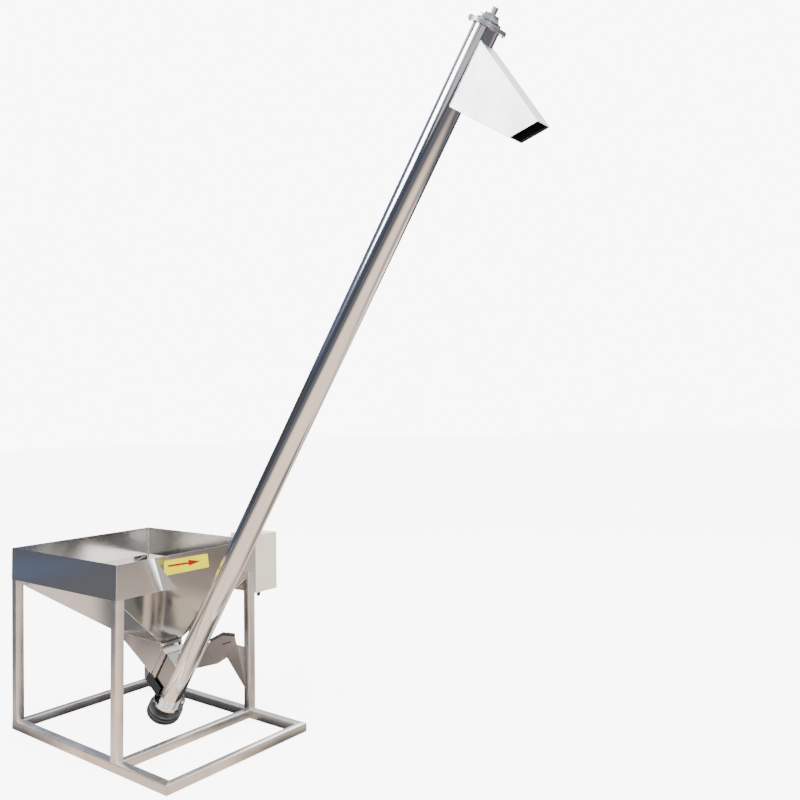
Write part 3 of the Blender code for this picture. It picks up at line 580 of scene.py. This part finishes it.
def hopper_folds():
    """Rounded folds: the band's lower edges and its two front corners."""
    fold_r, inset, rear_end, gap, rim_gap = 0.0024, 0.0012, 0.02, 0.001, 0.003
    bm = bmesh.new()
    for a, b in (((rear_end, 0.0, BAND_Z), (HOP_X - gap, 0.0, BAND_Z)),
                 ((HOP_X, gap, BAND_Z), (HOP_X, gap, RIM_Z - rim_gap)),
                 ((HOP_X, HOP_Y - gap, BAND_Z), (HOP_X, HOP_Y - gap, RIM_Z - rim_gap)),
                 ((rear_end, HOP_Y, BAND_Z), (HOP_X - gap, HOP_Y, BAND_Z))):
        inward = Vector((0.0 if a[0] != b[0] else -1.0, 1.0 if a[1] < HOP_Y / 2 else -1.0, 0.0))
        start, end = at(*a) + inward * inset, at(*b) + inward * inset
        lathe(bm, start, end - start, [(fold_r, 0.0), (fold_r, (end - start).length)], 16)
    finish_piece("hopper_folds", bm, MATS["sheet_steel"], "machine", 40)


def throat_welds():
    """Seams down the throat's edges and along the inlet."""
    rear_t, lift = 0.262, 0.002
    inlet, inlet_n, inlet_y = (0.250, 0.417), 0.0003, 0.0522    # along from and to, out, across
    rear = on_axis(rear_t, -COLLAR_N)
    front = on_axis((NECK_X1 - AXIS_X + OUT.x * COLLAR_N) / ALONG.x, -COLLAR_N)
    lines = []
    for side in (-1, 1):
        y = HOP_Y / 2 + side * NECK_HALF
        across = y - CORNER.y
        lines.append((at(NECK_X0, y, NECK_Z - lift), Vector((rear.x, across, rear.z + lift))))
        lines.append((Vector((front.x, across, front.z + lift)), at(NECK_X1, y, NECK_Z - lift)))
        lines.append(tuple(on_axis(t, inlet_n, side * inlet_y) for t in inlet))
    beads("throat_welds", lines, r=0.0012)


def joint_shade_strips():
    """Black strips as painted shade in the joints' shadow gaps: round the collar on both sides, and
    along the neck's front edge.
    """
    strip_r, end_r, taper, past = 0.0030, 0.0018, 0.0015, 0.001
    # The collar's upper and lower joint: along the axis from and to, out from it, across
    joints = ((0.264, 0.424, -0.1125, 0.0560), (0.250, 0.418, -0.0805, 0.0555))
    y0, y1 = HOP_Y / 2 - NECK_HALF, HOP_Y / 2 + NECK_HALF
    lines = [(at(NECK_X1 + past, y0 - past, NECK_Z), at(NECK_X1 + past, y1 + past, NECK_Z))]
    for side in (-1, 1):
        for t0, t1, n, y in joints:
            lines.append((on_axis(t0, n, side * y), on_axis(t1, n, side * y)))
    bm = bmesh.new()
    for a, b in lines:
        length = (b - a).length
        lathe(bm, a, b - a, [(end_r, 0.0), (strip_r, taper), (strip_r, length - taper), (end_r, length)],
              12)
    finish_piece("joint_shade_strips", bm, MATS["black_rubber"], "machine", 50)


def chute_welds():
    """Seams where the chute stands on the tube and along its roof and floor."""
    foot_n, foot_y, edge_y = 0.0352, 0.0402, 0.0388
    heel_gap, top_gap = 0.002, 0.003
    first, last = 0.05, 0.985       # where an edge seam starts and ends, as a share
    lines, edges = [], []
    for side in (-1, 1):
        lines.append((on_axis(CHUTE_HEEL[0] + heel_gap, foot_n, side * foot_y),
                      on_axis(CHUTE_TOP[0] - top_gap, foot_n, side * foot_y)))
        for a, b in ((CHUTE_TOP, CHUTE_LIP), (CHUTE_HEEL, CHUTE_TOE)):
            p, q = on_axis(*a, side * edge_y), on_axis(*b, side * edge_y)
            edges.append((p + (q - p) * first, p + (q - p) * last))
    beads("chute_foot_welds", lines, r=0.0017)
    beads("chute_edge_seams", edges, r=0.0011)


def bracket_welds():
    """Seams of the bracket on the tube and on the leg."""
    t0, t1, on_tube = 0.412, 0.563, ((0.0300, 0.0422), (0.0342, 0.0400))    # along; out, across
    z0, z1, in_leg, proud = 0.140, 0.332, 0.024, 0.0006
    x, y = HOP_X - in_leg, HOP_Y - TUBE_S - proud
    lines = [(on_axis(t0, n, across), on_axis(t1, n, across)) for n, across in on_tube]
    lines.append((at(x, y, z0), at(x, y, z1)))
    beads("bracket_welds", lines, r=0.0013)


def bracket_edge_shade():
    """The bracket's folded upper edge, black as painted shade along it, and a black pad behind its slot
    as painted shade seen through it.
    """
    bm = bmesh.new()
    near, far = (0.0006, 0.0335), (0.0100, 0.0215)      # the edge's two sides: past the top, out
    fold = (OUT * 0.6 + ALONG * 0.8) * 0.003            # its thickness
    for (t0, y0), (t1, y1) in zip(BRACKET_TOP, BRACKET_TOP[1:]):
        slab(bm, [on_axis(t0 + near[0], near[1], y0), on_axis(t1 + near[0], near[1], y1),
                  on_axis(t1 + far[0], far[1], y1), on_axis(t0 + far[0], far[1], y0)], fold)
    t, y0, y1, wide = BRACKET_SLOT
    # The pad behind the slot is painted shade seen through it
    margin, pad_n, pad = 0.006, 0.0260, 0.0035
    reach = wide / 2 + margin
    slab(bm, [on_axis(t - reach, pad_n, y0 - margin), on_axis(t + reach, pad_n, y0 - margin),
              on_axis(t + reach, pad_n, y1 + margin), on_axis(t - reach, pad_n, y1 + margin)],
         OUT * pad)
    finish_piece("bracket_edge_shade", bm, MATS["black_rubber"], "machine", 30)


def head_fittings():
    """The flared foot of the bearing housing, its bolts, the flange bolts and a grease nipple."""
    bm = bmesh.new()
    low, high, steps = (0.0455, 0.0102), (0.0275, 0.0335), 8    # the flare's ends: radius, height
    profile = [(0.0460, 0.0098)]
    for k in range(steps + 1):
        turn = math.pi / 2 * k / steps
        profile.append((high[0] + (low[0] - high[0]) * (1 - math.sin(turn)),
                        high[1] + (low[1] - high[1]) * math.cos(turn)))
    lathe(bm, on_axis(HEAD_HOUSING), ALONG, profile, 48)
    finish_piece("head_bell", bm, MATS["cast_metal"], "machine", 40)
    lower, upper = HEAD_PLATE
    circle, size, upper_stud, lower_stud = 0.0655, 0.0042, 0.002, 0.003
    rows = []
    for side in round_axis(4, 45):
        rows.append((on_axis(upper) + side * circle, ALONG, size, upper_stud))
        rows.append((on_axis(lower) + side * circle, -ALONG, size, lower_stud))
    bolts("head_flange_bolts", rows, DARK_BOLT)
    circle, size = 0.0395, 0.0036
    rows = [(on_axis(HEAD_FLANGE) + side * circle, ALONG, size) for side in round_axis(4, 0)]
    bolts("head_bearing_bolts", rows, DARK_BOLT)
    bm = bmesh.new()
    side, housing_r = (-OUT * 0.8 - ACROSS * 0.6).normalized(), 0.0300
    profile = [(0.0036, 0.0), (0.0036, 0.003), (0.0020, 0.004), (0.0020, 0.008), (0.0028, 0.009),
               (0.0024, 0.012), (0.0008, 0.0128)]
    lathe(bm, on_axis(NIPPLE) + side * housing_r, side, profile, 16)
    finish_piece("grease_nipple", bm, BOLT, "machine", 30)


def foot_fittings():
    """Bolts through the foot plate and the foot bearing."""
    lower, upper = FOOT_PLATE
    circle, size, stud = 0.0615, 0.0062, 0.003
    rows = []
    for side in round_axis(4, 45):
        rows.append((on_axis(upper) + side * circle, ALONG, size))
        rows.append((on_axis(lower) + side * circle, -ALONG, size, stud))
    bolts("foot_plate_bolts", rows, BOLT)
    circle, size = 0.0385, 0.0045
    rows = [(on_axis(FOOT_BEARING) + side * circle, -ALONG, size) for side in round_axis(3, 15)]
    bolts("foot_bearing_bolts", rows, BOLT)


def pulley_fittings():
    """Retaining washer and bolt on the pulley's end."""
    bm = bmesh.new()
    washer_r, washer, flats, head = 0.0110, 0.0025, 0.013, 0.0055
    lathe(bm, on_axis(PULLEY_END), -ALONG, [(washer_r, 0.0), (washer_r, washer)])
    hexagon(bm, on_axis(PULLEY_END - washer), -ALONG, flats, head)
    finish_piece("pulley_bolt", bm, BOLT, "screw", 30)


def sticker():
    """Plain yellow plate with cut corners and a plain red arrow on the recess."""
    normal = Vector((RECESS_DROP, 0.0, -RECESS_IN)).normalized()
    lift, film, arrow, cut = 0.0002, 0.0004, 0.0002, 0.004

    def on_facet(y, z):
        return at(HOP_X - RECESS_IN * (RIM_Z - z) / RECESS_DROP, y, z)

    def plate(name, loop, base, thick, mat):
        bm = bmesh.new()
        slab(bm, [p + normal * base for p in loop], normal * thick)
        finish_piece(name, bm, mat, "machine", 30)

    loop = []
    for k, (y, z) in enumerate(STICKER):
        for oy, oz in (STICKER[k - 1], STICKER[(k + 1) % 4]):
            share = cut / math.hypot(oy - y, oz - z)
            loop.append(on_facet(y + (oy - y) * share, z + (oz - z) * share))
    plate("direction_sticker", loop, lift, film, YELLOW)
    plate("direction_arrow", [on_facet(y, z) for y, z in ARROW], lift + film, arrow, RED)


def chute_mouth_shade():
    """Black duct inside the chute's mouth as painted shade for its dark inside: a short duct with thin
    walls.
    """
    top, lip, heel, toe = (Vector(p) for p in (CHUTE_TOP, CHUTE_LIP, CHUTE_HEEL, CHUTE_TOE))
    start, end = 0.012, 0.50        # from the mouth up the chute, as a share
    mouth = lip.lerp(top, start), toe.lerp(heel, start)
    back = lip.lerp(top, end), toe.lerp(heel, end)
    middle = (mouth[0] + mouth[1] + back[0] + back[1]) / 4
    bm = bmesh.new()

    def loop(corners, inset, half):
        roof, base = (p + (middle - p).normalized() * inset for p in corners)
        return [bm.verts.new(on_axis(*p, y))
                for p, y in ((roof, -half), (roof, half), (base, half), (base, -half))]

    outer, inner = (0.0036, 0.0372), (0.0052, 0.0358)   # inset from the chute's edges, half width
    loops = [loop(mouth, *outer), loop(back, *outer), loop(back, *inner), loop(mouth, *inner)]
    for a, b in chain(loops, closed=True):
        for k in range(4):
            n = (k + 1) % 4
            bm.faces.new((a[k], a[n], b[n], b[k]))
    finish_piece("chute_mouth_shade", bm, MATS["black_rubber"], "machine", 30)


def box_fittings():
    """Lid screws on the control box's ends and the nut of its gland."""
    screw, flats, height = 0.0032, 0.024, 0.007
    ends = list(zip(BOX_ENDS, (Vector((1, 0, 0)), Vector((-1, 0, 0)))))
    rows = [(at(x, LID_SCREW_Y, z), facing, screw) for z in LID_SCREW_Z for x, facing in ends]
    bolts("lid_screws", rows, BOLT)
    bm = bmesh.new()
    hexagon(bm, at(*GLAND_NUT), Vector((0, 0, -1)), flats, height)
    finish_piece("gland_nut", bm, MATS["black_plastic"], "machine", 30)


# Studio

def disc(radius, z, count):
    """Points on a level circle round the origin."""
    angles = [2 * math.pi * k / count for k in range(count)]
    return [(radius * math.cos(a), radius * math.sin(a), z) for a in angles]


def stage_face(name, points, mat):
    """A single face, hidden from diffuse light."""
    bm = bmesh.new()
    bm.faces.new([bm.verts.new(p) for p in points])
    mesh = bpy.data.meshes.new(name)
    bm.to_mesh(mesh)
    bm.free()
    mesh.materials.append(mat)
    obj = bpy.data.objects.new(name, mesh)
    bpy.context.scene.collection.objects.link(obj)
    obj.visible_diffuse = False
    return obj


def only_mirrored(name, points, mat):
    """A stage face that is seen only in mirroring pieces and casts no shadow."""
    obj = stage_face(name, points, mat)
    obj.visible_camera = False
    obj.visible_shadow = False


def floor():
    """Pale ground for the camera. The steel mirrors the ground below instead."""
    mat = coated("floor_pale", (0.80, 0.80, 0.80), (0.84, 0.84, 0.84), (0.85, 0.95),
                 grain=60.0, relief=0.02, cloud=0.6)
    shader = mat.node_tree.nodes["Principled BSDF"]
    shader.inputs["Emission Color"].default_value = (1.0, 1.0, 1.0, 1.0)
    shader.inputs["Emission Strength"].default_value = GROUND_GLOW
    stage_face("floor", disc(FLOOR_R, FLOOR_Z, 64), mat).visible_glossy = False


def mirrored_ground():
    """Dark ground with brown areas of painted light and darker areas of painted shadow, seen only
    mirrored in the steel.
    """
    mat, nodes, links, bsdf = start_material("ground_mirrored")
    coord = nodes.new("ShaderNodeTexCoord")
    tone = nodes.new("ShaderNodeRGB").outputs[0]
    tone.default_value = (*GROUND_DARK, 1.0)
    # Brown areas are painted pools of light, darker ones painted shadows
    for (x, y), full, gone, tint in GROUND_LIGHT_AND_SHADOW:
        apart = nodes.new("ShaderNodeVectorMath")
        apart.operation = "DISTANCE"
        links.new(coord.outputs["Object"], apart.inputs[0])
        apart.inputs[1].default_value = (x, y, 0.0)
        share = span(nodes, links, apart.outputs["Value"], 1.0, 0.0, full, gone)
        tone = laid_over(nodes, links, share, tone, tint)
    worn = noise(nodes, links, mapped(nodes, links, (1, 1, 1)), 2.5, 4.0)
    links.new(ramp(nodes, links, worn, [(0.3, (0.005, 0.005, 0.005)), (0.7, (0.009, 0.009, 0.009))]),
              bsdf.inputs["Base Color"])
    links.new(tone, bsdf.inputs["Emission Color"])
    links.new(span(nodes, links, worn, 0.92 * SURROUND_GAIN, 1.08 * SURROUND_GAIN),
              bsdf.inputs["Emission Strength"])
    bsdf.inputs["Roughness"].default_value = 0.9
    only_mirrored("mirrored_ground", disc(MIRRORED_R, MIRRORED_Z, 48), mat)


def cards():
    """Plain cards, seen only mirrored in the steel."""
    for name, (middle, facing, wide, high, tint) in CARDS.items():
        middle, facing = Vector(middle), Vector(facing)
        side = facing.cross(Vector((0, 0, 1))).normalized()
        rise = side.cross(facing).normalized()
        mat, nodes, links, bsdf = start_material(name + "_tone")
        worn = noise(nodes, links, mapped(nodes, links, (1, 1, 1)), 3.0, 3.0)
        links.new(ramp(nodes, links, worn, [(0.3, tuple(0.9 * v for v in tint)), (0.7, tint)]),
                  bsdf.inputs["Emission Color"])
        bsdf.inputs["Base Color"].default_value = (*(0.1 * v for v in tint), 1.0)
        bsdf.inputs["Emission Strength"].default_value = SURROUND_GAIN
        bsdf.inputs["Roughness"].default_value = 0.9
        only_mirrored(name, [middle + side * wide * a + rise * high * b
                             for a, b in ((-1, -1), (1, -1), (1, 1), (-1, 1))], mat)


def floor_shade():
    """Dark ground beside the rails, seen only mirrored in their inner sides."""
    mat = coated("shade_dark", (0.010, 0.011, 0.015), (0.020, 0.021, 0.028), (0.85, 0.95), relief=0.0)
    for k, (x0, x1, y0, y1) in enumerate(SHADES):
        z = SHADE_Z + SHADE_STEP * k
        only_mirrored("shade_%d" % k, [at(x0, y0, z), at(x1, y0, z), at(x1, y1, z), at(x0, y1, z)], mat)


def patch(nodes, links, direction, colour, centre, inner, outer, tint):
    """Lay a round patch of another tone over the surroundings, its edge soft."""
    dot = nodes.new("ShaderNodeVectorMath")
    dot.operation = "DOT_PRODUCT"
    links.new(direction, dot.inputs[0])
    dot.inputs[1].default_value = Vector(centre).normalized()
    share = span(nodes, links, dot.outputs["Value"], 0.0, 1.0,
                 math.cos(math.radians(outer)), math.cos(math.radians(inner)))
    return laid_over(nodes, links, share, colour, tint)


def studio():
    """Dark surroundings, a pale sky and patches for the steel, a plain backdrop, three soft panels."""
    world = bpy.data.worlds.new("studio")
    bpy.context.scene.world = world
    world.use_nodes = True
    nodes, links = world.node_tree.nodes, world.node_tree.links
    back = nodes["Background"]
    coord = nodes.new("ShaderNodeTexCoord")
    direction = coord.outputs["Generated"]
    split = nodes.new("ShaderNodeSeparateXYZ")
    links.new(direction, split.inputs["Vector"])
    height = span(nodes, links, split.outputs["Z"], 0.0, 1.0, -1.0, 1.0)
    stops = [(0.5 + 0.5 * z, colour) for z, colour in SURROUND]
    tone = ramp(nodes, links, height, stops)
    for centre, inner, outer, tint in PATCHES:
        tone = patch(nodes, links, direction, tone, centre, inner, outer, tint)
    links.new(tone, back.inputs["Color"])
    back.inputs["Strength"].default_value = SURROUND_GAIN
    plain = nodes.new("ShaderNodeBackground")
    plain.inputs["Color"].default_value = (1.0, 1.0, 1.0, 1.0)
    plain.inputs["Strength"].default_value = BACKDROP
    path = nodes.new("ShaderNodeLightPath")
    either = nodes.new("ShaderNodeMixShader")
    links.new(path.outputs["Is Camera Ray"], either.inputs[0])
    links.new(back.outputs[0], either.inputs[1])
    links.new(plain.outputs[0], either.inputs[2])
    links.new(either.outputs[0], nodes["World Output"].inputs["Surface"])
    for name, place, aim, size, power, colour in PANELS:
        light = bpy.data.lights.new(name, "AREA")
        light.shape = "SQUARE"
        light.size = size
        light.energy = power
        light.color = colour
        obj = bpy.data.objects.new(name, light)
        obj.location = place
        obj.rotation_euler = (Vector(aim) - Vector(place)).to_track_quat("-Z", "Y").to_euler()
        bpy.context.scene.collection.objects.link(obj)


def camera():
    """The fitted camera of the photograph."""
    data = bpy.data.cameras.new("camera")
    data.sensor_width = SENSOR
    data.lens = LENS
    data.shift_x = SHIFT_X
    data.shift_y = SHIFT_Y
    data.clip_end = 200.0
    obj = bpy.data.objects.new("camera", data)
    columns = (CAMERA_RIGHT, CAMERA_UP, CAMERA_BACK, CAMERA_PLACE)
    obj.matrix_world = Matrix([[column[k] for column in columns] for k in range(3)] + [[0, 0, 0, 1]])
    bpy.context.scene.collection.objects.link(obj)
    bpy.context.scene.camera = obj


dress_nodes()
frame_welds()
hopper_welds()
hopper_folds()
throat_welds()
joint_shade_strips()
chute_welds()
bracket_welds()
bracket_edge_shade()
head_fittings()
foot_fittings()
pulley_fittings()
sticker()
chute_mouth_shade()
box_fittings()
floor()
mirrored_ground()
cards()
floor_shade()
studio()
camera()
